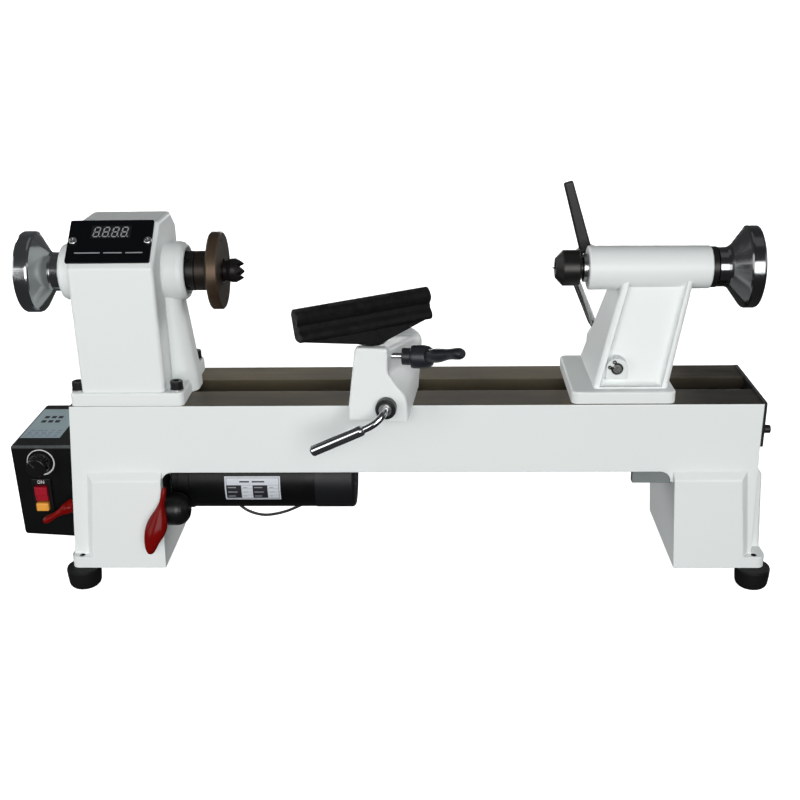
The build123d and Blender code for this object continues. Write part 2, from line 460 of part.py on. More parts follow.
def banjo():
    z0 = B + SLIDE_GAP
    front = extrude(front_outline(FRONT, 75), amount=9, dir=(0, 1, 0))
    front = soft(front, lambda q: q.edges().filter_by(lambda e: e.center().Z > B + 74 and abs(e.length - 9) < 0.3), 4.0)
    front = soft(front, lambda q: q.edges().filter_by(lambda e: abs(e.center().Y - FRONT) < 0.05 and e.center().Z > B + 2), 2.5)
    back = Polyline((19.5, -4, B + 60), (-19.5, -4, B + 60), (-23.0, -4, B + 46), (-19.4, -4, z0), (19.4, -4, z0), (20.3, -4, B + 12), (23.0, -4, B + 47), (19.5, -4, B + 60))
    web = loft([front_outline(FRONT + 6, 73), make_face(back)], ruled=True)
    web = soft(web, lambda q: q.edges().filter_by(lambda e: e.center().Z > B + 62 and e.length > 60), 4.0)
    rear = Pos(0, -6, (z0 + B + 64) / 2) * Cone(19.6, 24.6, B + 64 - z0)
    rear = soft(rear, lambda q: q.edges().filter_by(lambda e: e.center().Z > B + 63), 13.0)
    pad = bx(-15.5, 15.5, -6, 46, z0, B + 33)
    pad = soft(pad, lambda q: q.edges().filter_by(lambda e: e.center().Y > 45.9 and abs(e.center().X) > 15), 10.0)
    pad = soft(pad, lambda q: q.edges().filter_by(lambda e: e.center().Z > B + 32.9 and e.center().Y > 0), 4.0)
    s = front + web + rear + pad
    s -= cz(B + 14, B + 78, PX, PY, 8.0 + RUN)
    s -= cy(FRONT - 1, 49, 0, BANJO_SHAFT_Z, 6.3 + RUN)
    s -= bx(-12, 12, -42, 35, B - 1, B + 28.4)
    s -= cx(-12, 24, PY, LOCK_Z, 3.2 + RUN)
    return BF * s


save(banjo(), "rest_base")
cp = bx(-20, 20, -34, 34, B - 25, B - 14.5) + bx(-16, 16, -17.6, 17.6, B - 14.6, B - 3)
cp = soft(cp, lambda q: q.edges().filter_by(Axis.Z), 2.5)
save(Pos(BANJO_X, 0, 0) * (cp - cz(B - 30, B, 0, 0, 5.4)), "rest_clamp_plate")
eye = cz(B - 37, B + 8, 0, 0, 5.0) + soft(cy(-7, 7, 0, BANJO_SHAFT_Z, 11), lambda t: t.edges(), 1.0)
eye -= cy(-9, 9, 0, BANJO_SHAFT_Z, 5.4)
nut = Pos(0, 0, B - 33.6) * extrude(RegularPolygon(9.2, 6), amount=8.2)
save(BF * (eye + nut), "rest_eye_bolt")

# clamp lever and eccentric shaft of the base
sh = cy(FRONT - 12, -26, 0, BANJO_SHAFT_Z, 6.3) + cy(-27, 37, 0, BANJO_SHAFT_Z, 4.6) + cy(36, 50, 0, BANJO_SHAFT_Z, 6.3)
save(BF * sh, "rest_clamp_shaft")
hubs = ry(FRONT - 9.5, FRONT - 0.5, 0, BANJO_SHAFT_Z, 10.2, 6.3)
hubs = soft(hubs, lambda t: t.edges().filter_by(lambda e: e.geom_type == GeomType.CIRCLE and e.radius > 10), 0.9)
save(BF * hubs, "rest_lever_hub")


def crank(x, y, z, sgn, end, mid, neck, grip):
    """Bent round bar leaving a shaft end along Y, then the grip along a straight line in the XZ plane."""
    (mx, mz), (ex, ez) = mid, end
    yy = y + sgn * 13
    d = math.hypot(ex - mx, ez - mz)
    ux, uz = (ex - mx) / d, (ez - mz) / d
    r = rod([(x, y, z), (x, y + sgn * 6, z), (x + 0.30 * (mx - x), y + sgn * 11.5, z + 0.42 * (mz - z)), (mx, yy, mz), (mx + 4 * ux, yy, mz + 4 * uz)], neck)
    pl = Plane((mx, yy, mz), z_dir=(ux, 0, uz))
    face = make_face(Polyline((0, 0, 2), (neck + 0.1, 0, 2), (grip - 1.2, 0, 2.9), (grip - 0.3, 0, 3.8), (grip, 0, 5.6), (grip, 0, d - 2.2), (grip - 0.8, 0, d - 0.6), (grip - 2.2, 0, d), (0, 0, d), close=True))
    g = pl * revolve(face, axis=Axis.Z)
    return r, g


r1, g1 = crank(0, FRONT - 12.05, BANJO_SHAFT_Z, -1, (-71.5, B - 24.5), (-17.0, B + 2.0), 3.5, 5.4)
save(BF * (r1 + g1 - cy(FRONT - 12, FRONT - 4, 0, BANJO_SHAFT_Z, 8)), "rest_lever")

# post lock handle
stud = cx(-7.2, 26, PY, LOCK_Z, 3.2)
save(BF * stud, "post_lock_stud")
lk = Pos(0, PY, LOCK_Z) * turned([(13.6, 3.2), (13.6, 8.0), (14.2, 8.5), (21.6, 8.5), (22.3, 9.2), (22.8, 11.0), (25, 11.6), (35, 11.6), (40, 10.6), (44, 8.0), (45.5, 4), (45.5, 0), (26, 0), (26, 3.2)], 0)
lk += limb([((36, PY - 2, LOCK_Z + 0.5), (0.62, -0.72, 0.3), 9.0, 8.6), ((46, PY - 12, LOCK_Z + 5.5), (0.62, -0.72, 0.3), 7.2, 6.8), ((58, PY - 24, LOCK_Z + 11), (0.62, -0.72, 0.3), 5.8, 5.6), ((69, PY - 34, LOCK_Z + 15.6), (0.62, -0.72, 0.3), 5.8, 5.6), ((73.5, PY - 38.6, LOCK_Z + 17.4), (0.62, -0.72, 0.3), 5.4, 5.2), ((75.6, PY - 40.8, LOCK_Z + 18.4), (0.62, -0.72, 0.3), 3.4, 3.2)])
lk -= cx(0, 26, PY, LOCK_Z, 3.2)
save(BF * lk, "post_lock_handle")

# post and tool rest
PW = (BF * Pos(PX, PY, 0)).position
save(cz(B + 16, B + 90, PW.X, PW.Y, 8.0) - cz(B + 89, B + 91, PW.X, PW.Y, 3.0), "rest_post")


def blade():
    """Rest blade with a waisted section, its left end slanting, on a boss that flares out along the blade."""
    sec = [(-4.5, B + 120), (-2.5, B + 121.6), (0.5, B + 121.4), (4.2, B + 118.2), (6.6, B + 114), (6.2, B + 110.5), (3.8, B + 106), (4.8, B + 101.5), (8.0, B + 98), (9.0, B + 94), (7.6, B + 91), (3, B + 89.4), (-4, B + 89.4), (-7, B + 92), (-7, B + 116)]
    u0, u1 = -85.0, 64.5
    f = make_face(Polyline(*[(u0, -n, z) for n, z in sec], close=True))
    s = extrude(f, amount=u1 - u0, dir=(1, 0, 0))
    s -= pxz([(-95, B + 130), (-83.9, B + 130), (-76.8, B + 70), (-95, B + 70)], -20, 20)
    s = soft(s, lambda q: q.edges().filter_by(lambda e: e.center().X < -76 and abs(e.center().X - (-83.9 + (B + 130 - e.center().Z) * 7.1 / 60)) < 0.4 or abs(e.center().X - u1) < 0.05), 1.2)
    wide = Pos(-9.6, -0.8, B + 90.6) * SlotOverall(138, 14.4)
    mid = Pos(-0.8, 0, B + 78.6) * SlotOverall(38, 21.6)
    foot = Pos(0, 0, B + 75.4) * SlotOverall(25.0, 21.6)
    s += loft([mid, wide], ruled=True) + loft([foot, mid], ruled=True)
    s -= cz(B + 70, B + 90.5, 0, 0, 8.0 + RUN)
    return Pos(PW.X, PW.Y, 0) * Rot(0, 0, REST_TURN) * s


save(blade(), "tool_rest")


# ---- tailstock ----------------------------------------------------------
def quad(x0, x1, y0, y1, z):
    return make_face(Polyline((x0, y0, z), (x1, y0, z), (x1, y1, z), (x0, y1, z), close=True))


def tail_section(t):
    """Column outline at height fraction t: left x, right x, front y, rear y, z."""
    return 182 + 31 * t, 258 + 26 * t, -50 + 31 * t, 58 - 20 * t, B + 12.5 + (CENTRE_H - 20.0) * t


def tailstock():
    z0 = B + SLIDE_GAP
    base = bx(160.4, 265.5, -59, 59, z0, B + 13)
    base = soft(base, lambda q: q.edges().filter_by(Axis.Z), 7.0)
    base = soft(base, lambda q: q.edges().filter_by(lambda e: e.center().Z > B + 12.9), 2.5)
    l0, r0, f0, b0, za = tail_section(0.0)
    l1, r1, f1, b1, zb = tail_section(1.05)
    colm = loft([quad(l0, r0, f0, b0, za - 2), quad(l1, r1, f1, b1, zb)], ruled=True)
    colm = soft(colm, lambda q: q.edges().filter_by(lambda e: 90 < e.length), 4.0)
    la, ra, fa, ba, zq = tail_section(0.02)
    lb, rb, fb, bb, zr = tail_section(1.05)
    for fy, by, out in ((fa + 7.5, fb + 7.5, -30), (ba - 6, bb - 6, 30)):
        lo = quad(la + 6.4, ra - 6.4, min(fy, fy + out), max(fy, fy + out), zq)
        hi = quad(lb + 6.4, rb - 6.4, min(by, by + out), max(by, by + out), zr)
        pocket = loft([lo, hi], ruled=True)
        pocket = soft(pocket, lambda q: q.edges().filter_by(lambda e: abs(e.center().Y) < 52 and (e.length > 90 or (e.length > 50 and e.center().Z < B + 20))), 5.5)
        colm -= pocket
    colm = soft(colm, lambda q: q.edges().filter_by(lambda e: e.length > 70 and e.center().Y < -22 and abs(e.tangent_at(0.5).Z) > 0.8 and (abs(e.center().X - 204.6) < 3.2 or abs(e.center().X - 264.9) < 3.2)), 1.8)
    low = TAIL_SHAFT_Z - 11.4
    colm += bx(TAIL_SHAFT_X - 10.6, TAIL_SHAFT_X + 10.6, TAIL_PAD_Y, -30, low, TAIL_SHAFT_Z) + cy(TAIL_PAD_Y, -30, TAIL_SHAFT_X, TAIL_SHAFT_Z, 10.6)
    colm += pxz([(189, low + 0.4), (200, low + 0.4), (200, TAIL_SHAFT_Z + 2), (193, TAIL_SHAFT_Z + 2)], -41, -30)
    colm += bx(TAIL_SHAFT_X - 17, TAIL_SHAFT_X + 17, 30, b0 + 0.7, B + 12, TAIL_SHAFT_Z) + cy(30, b0 + 0.7, TAIL_SHAFT_X, TAIL_SHAFT_Z, 17)
    colm += bx(186.5, 195, 30, 47.2, B + 12, B + 27)
    bar = turned([(178, 0), (178, BARREL_R - 1.6), (178.5, BARREL_R - 0.5), (179.6, BARREL_R), (300.4, BARREL_R - 0.6), (301.5, BARREL_R - 1.1), (302, BARREL_R - 2.2), (302, 0)], S)
    s = base + colm + bar
    s += bx(166, 261, -17.4, 17.4, B - 9, B + 2)
    s -= cx(170, 297, 0, S, QUILL_R + RUN)
    s -= cx(296, 303, 0, S, 9.0)
    s -= cy(-60, -39.9, TAIL_SHAFT_X, TAIL_SHAFT_Z, 4.4 + RUN) + cy(-40.0, 62, TAIL_SHAFT_X, TAIL_SHAFT_Z, 6.3 + RUN)
    s -= bx(TAIL_SHAFT_X - 12, TAIL_SHAFT_X + 12, -14, 14, B - 12, B + 46.5)
    s -= cy(14, 24, 183, S, 4.0 + RUN)
    return s


save(tailstock(), "tailstock")
save(rx(302, 307.5, 0, S, 20.9, 6.0 + RUN), "tail_thrust_ring")
te = cz(B - 37, TAIL_SHAFT_Z - 8, TAIL_SHAFT_X, 0, 5.0) + soft(cy(-7, 7, TAIL_SHAFT_X, TAIL_SHAFT_Z, 11), lambda t: t.edges(), 1.0)
te += Pos(TAIL_SHAFT_X, 0, B - 33.4) * extrude(RegularPolygon(9.2, 6), amount=8.4)
save(te - cy(-9, 9, TAIL_SHAFT_X, TAIL_SHAFT_Z, 5.4), "tail_eye_bolt")
tp = bx(-20, 20, -34, 34, B - 25, B - 14.5)
tp = soft(tp, lambda q: q.edges().filter_by(Axis.Z), 2.5)
save(Pos(TAIL_SHAFT_X, 0, 0) * (tp - cz(B - 30, B, 0, 0, 5.0)), "tail_clamp_plate")

ts = cy(TAIL_PAD_Y - 3.5, -39.5, TAIL_SHAFT_X, TAIL_SHAFT_Z, 4.4) + cy(-39.6, -14.2, TAIL_SHAFT_X, TAIL_SHAFT_Z, 6.3) + cy(-14.4, 14.4, TAIL_SHAFT_X, TAIL_SHAFT_Z, 4.6) + cy(14.2, 69, TAIL_SHAFT_X, TAIL_SHAFT_Z, 6.3)
ts -= ry(TAIL_PAD_Y - 1.9, TAIL_PAD_Y - 0.5, TAIL_SHAFT_X, TAIL_SHAFT_Z, 7, 3.7)
save(ts, "tail_clamp_shaft")
clip = ry(TAIL_PAD_Y - 1.8, TAIL_PAD_Y - 0.6, TAIL_SHAFT_X, TAIL_SHAFT_Z, 6.1, 3.7)
clip -= Pos(TAIL_SHAFT_X, TAIL_PAD_Y - 1.3, TAIL_SHAFT_Z) * Rot(0, -50, 0) * Pos(0, 0, 5.5) * Box(4.4, 4, 7)
for k in (-1, 1):
    clip += Pos(TAIL_SHAFT_X, TAIL_PAD_Y - 1.2, TAIL_SHAFT_Z) * Rot(0, -50 + 29 * k, 0) * Pos(0, 0, 5.4) * Box(1.9, 1.2, 2.6)
    clip += Pos(TAIL_SHAFT_X, TAIL_PAD_Y - 1.2, TAIL_SHAFT_Z) * Rot(0, -50 + 29 * k, 0) * Pos(0, 0, 7.4) * Rot(90, 0, 0) * (Cylinder(1.9, 1.2) - Cylinder(0.75, 3))
save(clip, "tail_circlip")
thb = ry(59.8, 68.6, TAIL_SHAFT_X, TAIL_SHAFT_Z, 10.2, 6.3)
thb = soft(thb, lambda t: t.edges().filter_by(lambda e: e.geom_type == GeomType.CIRCLE and e.radius > 10), 0.9)
save(thb, "tail_lever_hub")
r2, g2 = crank(TAIL_SHAFT_X, 69.05, TAIL_SHAFT_Z, 1, (170.6, B + 110.0), (200.2, B + 40.0), 3.6, 4.8)
save(r2 + g2 - cy(60, 69, TAIL_SHAFT_X, TAIL_SHAFT_Z, 8), "tail_lever")

# quill, live centre, handwheel and screw
ql = cx(173, 292, 0, S, QUILL_R)
ql = soft(ql, lambda q: q.edges().filter_by(lambda e: e.geom_type == GeomType.CIRCLE), 0.8)
ql -= turned([(172, 0), (172, 9.0), (173, 8.9), (236, 7.2), (236, 0)], S)
ql -= cx(230, 293, 0, S, 6.4)
ql -= bx(196, 288, -2.5, 2.5, S - QUILL_R - 1, S - QUILL_R + 3)
save(ql, "quill")
ar = turned([(236, 0), (236, 7.2), (173, 8.9), (172.6, 11), (170.2, 11), (170.2, 7.6), (154, 7.6), (154, 0)], S)
save(ar, "live_center_arbor")
lc = turned([(140.8, 0), (146.6, 1.5), (146.6, 4.0), (145.2, 6.0), (145.2, 10.4), (146.0, 11.2), (151.8, 17.4), (152.8, 18.3), (168.6, 18.3), (169.8, 17.2), (169.8, 7.6 + RUN), (153.6, 7.6 + RUN), (153.6, 0)], S)
save(lc, "live_center")
wv = [(307.9, 6.0), (307.9, 19.2), (308.9, 20.2), (317, 20.2), (319.5, 21), (321.5, 22.6), (334.4, 40), (335.8, 41.5), (337.4, 42.0), (346.2, 42.0), (348, 41.2), (348.8, 39.4), (348.8, 37.6), (347.2, 36.4), (340, 35), (329.5, 20), (339, 18.2), (339, 6.0)]
save(turned(wv, S), "tail_handwheel")
save(cx(240, 307.8, 0, S, 6.0) + cx(307.7, 341, 0, S, 6.0) + soft(cx(339, 343, 0, S, 9.5), lambda t: t.edges().filter_by(lambda e: e.center().X > 342.9), 0.8), "tail_screw")
lever = pxz([(0 - 6.6, -2), (6.6, -2), (5.0, 86), (-5.0, 86)], 25, 33)
lever = soft(lever, lambda q: q.edges().filter_by(lambda e: e.length > 80), 2.2)
lever = soft(lever, lambda q: q.edges().filter_by(lambda e: e.center().Z > 85), 1.4)
lever = Pos(183, 0, S) * Rot(0, -16.5, 0) * lever
lever += soft(cy(23.2, 36.5, 183, S, 16.4), lambda t: t.edges(), 1.6)
save(lever + cy(15.0, 30, 183, S, 4.0), "quill_lock_lever")
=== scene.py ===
import math

import bpy
from mathutils import Matrix, Vector


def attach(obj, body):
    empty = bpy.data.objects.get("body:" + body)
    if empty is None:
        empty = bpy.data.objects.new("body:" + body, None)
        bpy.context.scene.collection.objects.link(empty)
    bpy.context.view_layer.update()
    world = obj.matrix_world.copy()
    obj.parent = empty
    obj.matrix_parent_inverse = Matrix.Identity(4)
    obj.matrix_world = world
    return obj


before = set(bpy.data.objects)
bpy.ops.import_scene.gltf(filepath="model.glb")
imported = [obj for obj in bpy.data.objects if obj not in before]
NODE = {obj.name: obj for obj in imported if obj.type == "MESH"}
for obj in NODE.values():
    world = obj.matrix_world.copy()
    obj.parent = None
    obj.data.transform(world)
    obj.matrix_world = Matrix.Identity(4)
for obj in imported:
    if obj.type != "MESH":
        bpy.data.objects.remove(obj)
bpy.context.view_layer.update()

MM = 0.001
B = 206.0          # bed top, mm
S = 333.0          # spindle line, mm
MOTOR_Z = 102.0

scene = bpy.context.scene
scene.view_settings.view_transform = "Standard"


# ---------------------------------------------------------------- node helpers
class Tree:
    """Small wrapper round a material's node tree."""

    def __init__(self, name):
        self.mat = bpy.data.materials.new(name)
        self.mat.use_nodes = True
        self.nt = self.mat.node_tree
        self.bsdf = self.nt.nodes["Principled BSDF"]
        self.obj = self.new("ShaderNodeTexCoord").outputs["Object"]

    def new(self, kind, inputs=None, **attrs):
        n = self.nt.nodes.new(kind)
        for k, v in attrs.items():
            setattr(n, k, v)
        for k, v in (inputs or {}).items():
            if isinstance(v, bpy.types.NodeSocket):
                self.nt.links.new(v, n.inputs[k])
            else:
                n.inputs[k].default_value = v
        return n

    def link(self, a, b):
        self.nt.links.new(a, b)

    def set(self, key, value):
        s = self.bsdf.inputs[key]
        if isinstance(value, bpy.types.NodeSocket):
            self.link(value, s)
        else:
            s.default_value = value

    def math(self, op, a, b=0.0, clamp=False):
        return self.new("ShaderNodeMath", {0: a, 1: b}, operation=op, use_clamp=clamp).outputs[0]

    def noise(self, scale, detail=3.0, rough=0.55, vec=None, dims="3D", w=None, distortion=0.0):
        n = self.new("ShaderNodeTexNoise", {"Scale": scale, "Detail": detail, "Roughness": rough, "Distortion": distortion}, noise_dimensions=dims)
        if dims != "1D":
            self.link(vec or self.obj, n.inputs["Vector"])
        if w is not None:
            self.link(w, n.inputs["W"])
        return n.outputs[0]

    def span(self, value, lo, hi, a=0.3, b=0.7):
        return self.new("ShaderNodeMapRange", {"Value": value, "From Min": a, "From Max": b, "To Min": lo, "To Max": hi}).outputs[0]

    def mix(self, f, a, b):
        n = self.new("ShaderNodeMix", data_type="RGBA")
        for sock, v in ((n.inputs[0], f), (n.inputs[6], a), (n.inputs[7], b)):
            if isinstance(v, bpy.types.NodeSocket):
                self.link(v, sock)
            else:
                sock.default_value = (*v, 1.0) if isinstance(v, (tuple, list)) and len(v) == 3 else v
        return n.outputs[2]

    def fmix(self, f, a, b):
        n = self.new("ShaderNodeMix", data_type="FLOAT")
        for sock, v in ((n.inputs[0], f), (n.inputs[2], a), (n.inputs[3], b)):
            if isinstance(v, bpy.types.NodeSocket):
                self.link(v, sock)
            else:
                sock.default_value = v
        return n.outputs[0]

    def xyz(self, vec=None):
        o = self.new("ShaderNodeSeparateXYZ", {0: vec or self.obj}).outputs
        return o[0], o[1], o[2]

    def above(self, v, edge, soft=0.0001):
        """1 where v is over edge, with a short ramp."""
        return self.new("ShaderNodeMapRange", {"Value": v, "From Min": edge - soft, "From Max": edge + soft, "To Min": 0.0, "To Max": 1.0}).outputs[0]

    def scaled(self, sx, sy, sz):
        return self.new("ShaderNodeVectorMath", {0: self.obj, 1: (sx, sy, sz)}, operation="MULTIPLY").outputs[0]

    def round_x(self, y, z):
        """Distance from the line along X through (y, z), in metres."""
        _, oy, oz = self.xyz()
        dy, dz = self.math("SUBTRACT", oy, y), self.math("SUBTRACT", oz, z)
        return self.math("SQRT", self.math("ADD", self.math("MULTIPLY", dy, dy), self.math("MULTIPLY", dz, dz)))

    def bumps(self, layers, edge=0.0):
        """layers: (height socket, strength, distance in metres)."""
        last = None
        if edge > 0:
            last = self.new("ShaderNodeBevel", {"Radius": edge}, samples=4).outputs[0]
        for h, st, dist in layers:
            b = self.new("ShaderNodeBump", {"Strength": st, "Distance": dist, "Height": h})
            if last is not None:
                self.link(last, b.inputs["Normal"])
            last = b.outputs[0]
        if last is not None:
            self.link(last, self.bsdf.inputs["Normal"])


def tint(c, k):
    return tuple(min(1.0, v * k) for v in c)


def common(t, color, metal, rough, cvar=0.06, cscale=16.0, rvar=0.05, rscale=35.0):
    n = t.noise(cscale, 4.0)
    t.set("Base Color", t.mix(t.span(n, 0.0, 1.0), tint(color, 1 - cvar), tint(color, 1 + cvar)))
    t.set("Metallic", metal)
    t.set("Roughness", t.span(t.noise(rscale, 4.0, 0.6), max(0.02, rough - rvar), rough + rvar))


WHITE = (0.80, 0.835, 0.825)


def enamel(name, peel=1.0):
    """Stoved white enamel over cast iron: faint orange peel and slow tone changes."""
    t = Tree(name)
    slow = t.noise(6.0, 2.0)
    c = t.mix(t.span(slow, 0.0, 1.0), tint(WHITE, 0.99), tint(WHITE, 1.004))
    t.set("Base Color", c)
    t.set("Metallic", 0.0)
    t.set("Roughness", t.span(t.noise(40.0, 3.0, 0.5), 0.37, 0.41))
    t.set("Specular IOR Level", 0.26)
    t.set("Coat Weight", 0.05)
    t.set("Coat Roughness", 0.20)
    t.bumps([(t.noise(260.0, 1.0), 0.020 * peel, 0.0005)], 0.0011)
    return t


def bed_material():
    t = enamel("enamel_bed")
    bs = t.bsdf
    c_white = bs.inputs["Base Color"].links[0].from_socket
    r_white = bs.inputs["Roughness"].links[0].from_socket
    x, y, z = t.xyz()
    top = t.above(z, (B - 0.35) * MM, 0.00012)
    inner = t.math("MULTIPLY", t.above(x, -340.0 * MM), t.math("MULTIPLY", t.math("SUBTRACT", 1.0, t.above(t.math("ABSOLUTE", y), 18.25 * MM, 0.0001)), t.above(z, (B - 14.3) * MM, 0.0001)))
    ways = t.math("MAXIMUM", top, inner)
    streak = t.noise(1.0, 7.0, 0.66, t.scaled(5.0, 420.0, 60.0))
    cloud = t.noise(1.0, 5.0, 0.6, t.scaled(9.0, 34.0, 30.0))
    dark = t.mix(t.span(streak, 0.0, 1.0), (0.060, 0.052, 0.038), (0.122, 0.104, 0.078))
    dark = t.mix(t.math("MULTIPLY", t.span(cloud, 0.0, 1.0, 0.42, 0.68), 0.75), dark, (0.150, 0.120, 0.064))
    scratch = t.span(t.noise(1.0, 3.0, 0.5, t.scaled(2.2, 2400.0, 60.0)), 0.0, 1.0, 0.60, 0.75)
    dark = t.mix(t.math("MULTIPLY", scratch, 0.35), dark, (0.135, 0.122, 0.104))
    # painted sheen: the rear way lighter than the front one
    painted_sheen_rear = t.math("MULTIPLY", t.above(y, 17.0 * MM, 0.001), t.span(cloud, 0.35, 0.85))
    dark = t.mix(painted_sheen_rear, dark, (0.190, 0.154, 0.084))
    # painted dark reflection: the ways go near black towards the right end
    painted_dark_end = t.math("MULTIPLY", t.new("ShaderNodeMapRange", {"Value": x, "From Min": 0.235, "From Max": 0.300, "To Min": 0.0, "To Max": 1.0}).outputs[0], t.span(cloud, 0.55, 1.0))
    dark = t.mix(t.math("MULTIPLY", painted_dark_end, 0.90), dark, (0.012, 0.011, 0.010))
    walls = t.math("MULTIPLY", inner, t.math("SUBTRACT", 1.0, top))
    dark = t.mix(t.math("MULTIPLY", walls, 0.62), dark, (0.030, 0.026, 0.020))
    # painted shade: grey inside the bracket behind the right leg's corner, where it lies in shadow under the bed
    painted_shade_bracket = t.math("MULTIPLY", t.math("MULTIPLY", t.above(x, 226.0 * MM), t.math("SUBTRACT", 1.0, t.above(x, 268.0 * MM))), t.math("MULTIPLY", t.math("SUBTRACT", 1.0, t.above(t.math("ABSOLUTE", y), 58.6 * MM)), t.math("SUBTRACT", 1.0, t.above(z, (B - 69.0) * MM))))
    c_white = t.mix(painted_shade_bracket, c_white, t.mix(t.span(cloud, 0.0, 1.0), (0.17, 0.19, 0.19), (0.23, 0.25, 0.25)))
    # painted shade: black on the left leg's inner corner, round the motor bracket
    painted_shade_leg = t.math("MULTIPLY", t.math("MULTIPLY", t.above(x, -269.6 * MM), t.math("SUBTRACT", 1.0, t.above(x, -252.0 * MM))), t.math("MULTIPLY", t.math("SUBTRACT", 1.0, t.above(t.math("ABSOLUTE", y), 58.6 * MM)), t.math("MULTIPLY", t.above(z, (B - 116.0) * MM), t.math("SUBTRACT", 1.0, t.above(z, (B - 66.4) * MM)))))
    c_white = t.mix(painted_shade_leg, c_white, (0.0045, 0.0047, 0.0050))
    # painted shade: dark inside the bench-bolt holes of the leg lugs
    ax, ay = t.math("SUBTRACT", t.math("ABSOLUTE", x), 359.5 * MM), t.math("SUBTRACT", t.math("ABSOLUTE", y), 63.2 * MM)
    painted_shade_bore = t.math("SUBTRACT", 1.0, t.above(t.math("SQRT", t.math("ADD", t.math("MULTIPLY", ax, ax), t.math("MULTIPLY", ay, ay))), 3.05 * MM, 0.00008))
    c_white = t.mix(t.math("MULTIPLY", painted_shade_bore, t.math("SUBTRACT", 1.0, t.above(z, (B - 165.0) * MM))), c_white, (0.012, 0.012, 0.012))
    t.set("Base Color", t.mix(ways, c_white, dark))
    t.set("Roughness", t.fmix(ways, r_white, t.math("ADD", t.span(streak, 0.30, 0.52), t.math("MULTIPLY", painted_dark_end, 0.26))))
    t.set("Metallic", t.math("MULTIPLY", ways, t.fmix(painted_dark_end, 0.22, 0.90)))
    coat = t.math("MULTIPLY", t.math("SUBTRACT", 1.0, ways), 0.07)
    t.set("Coat Weight", coat)
    return t.mat


def turned_metal(name, color, rough, yz=(0.0, S * MM), fine=1.0, cvar=0.08, grooves=2600.0, metal=1.0, rvar=0.05):
    """Metal turned about a line along X: hair-fine rings, slow tone changes, handling marks."""
    t = Tree(name)
    x, _, _ = t.xyz()
    r = t.round_x(*yz)
    w = t.math("ADD", t.math("MULTIPLY", r, grooves), t.math("MULTIPLY", x, grooves * 0.83))
    rings = t.noise(1.0, 3.0, 0.6, dims="1D", w=w)
    n = t.noise(24.0, 5.0, 0.62)
    c = t.mix(t.span(n, 0.0, 1.0), tint(color, 1 - cvar), tint(color, 1 + cvar))
    c = t.mix(t.math("MULTIPLY", t.span(rings, 0.0, 1.0), 0.22 * fine), c, tint(color, 0.62))
    t.set("Base Color", c)
    t.set("Metallic", metal)
    smear = t.span(t.noise(55.0, 5.0, 0.66), rough - rvar, rough + rvar)
    t.set("Roughness", t.math("ADD", smear, t.math("MULTIPLY", rings, 0.06 * fine)))
    t.bumps([(rings, 0.10 * fine, 0.00012)], 0.0005)
    return t.mat


def plain(name, color, metal, rough, grain=300.0, strength=0.12, dist=0.0004, cvar=0.08, rvar=0.06, edge=0.0006, coat=0.0, spec=None, wear=None):
    t = Tree(name)
    common(t, color, metal, rough, cvar, 18.0, rvar)
    if coat:
        t.set("Coat Weight", coat)
        t.set("Coat Roughness", 0.10)
    if spec is not None:
        t.set("Specular IOR Level", spec)
    t.bumps([(t.noise(grain, 3.0, 0.6), strength, dist)], edge)
    return t.mat


def cast_black():
    """Satin black over a sand-cast skin; the crest of the rest is rubbed grey by wear and carries a painted highlight.
    """
    t = Tree("cast_black")
    grit = t.noise(520.0, 4.0, 0.7)
    pits = t.noise(140.0, 3.0, 0.6)
    c = t.mix(t.span(pits, 0.0, 1.0), (0.0045, 0.0045, 0.0047), (0.0085, 0.0085, 0.0088))
    x, y, z = t.xyz()
    # crest lighter: worn bare, and a painted highlight along the top edge
    crest_wear_and_highlight = t.math("MULTIPLY", t.above(z, (B + 120.3) * MM, 0.0010), t.span(t.noise(60.0, 5.0, 0.7), 0.0, 1.0, 0.40, 0.65))
    c = t.mix(t.math("MULTIPLY", crest_wear_and_highlight, 0.35), c, (0.10, 0.10, 0.098))
    t.set("Base Color", c)
    t.set("Metallic", 0.0)
    t.set("Roughness", t.span(pits, 0.34, 0.52))
    t.set("Specular IOR Level", 0.22)
    t.bumps([(pits, 0.16, 0.0006), (grit, 0.18, 0.00026)], 0.0010)
    return t.mat


M = {}
M["enamel"] = enamel("enamel_white").mat
M["bed"] = bed_material()
M["chrome_l"] = turned_metal("chrome_wheel", (0.46, 0.475, 0.48), 0.11, fine=0.8)
# painted shade: the tail handwheel takes a darker copy of the same wheel chrome
M["chrome_shaded"] = turned_metal("chrome_wheel_painted_shade", (0.235, 0.24, 0.242), 0.12, fine=0.8)
M["chrome_bar"] = plain("chrome_bar", (0.50, 0.51, 0.515), 1.0, 0.13, 90.0, 0.04, 0.0004, 0.08, 0.05, 0.0004)
M["chrome_pale"] = plain("chrome_screw", (0.62, 0.63, 0.63), 1.0, 0.18, 90.0, 0.05, 0.0004, 0.08, 0.07, 0.0004)
M["quill"] = turned_metal("quill_steel", (0.34, 0.34, 0.34), 0.22, fine=0.7)
M["steel"] = turned_metal("bright_steel", (0.52, 0.52, 0.51), 0.28)
M["steel_plain"] = plain("bright_steel_bar", (0.50, 0.50, 0.49), 1.0, 0.30, 200.0, 0.06, 0.0003)
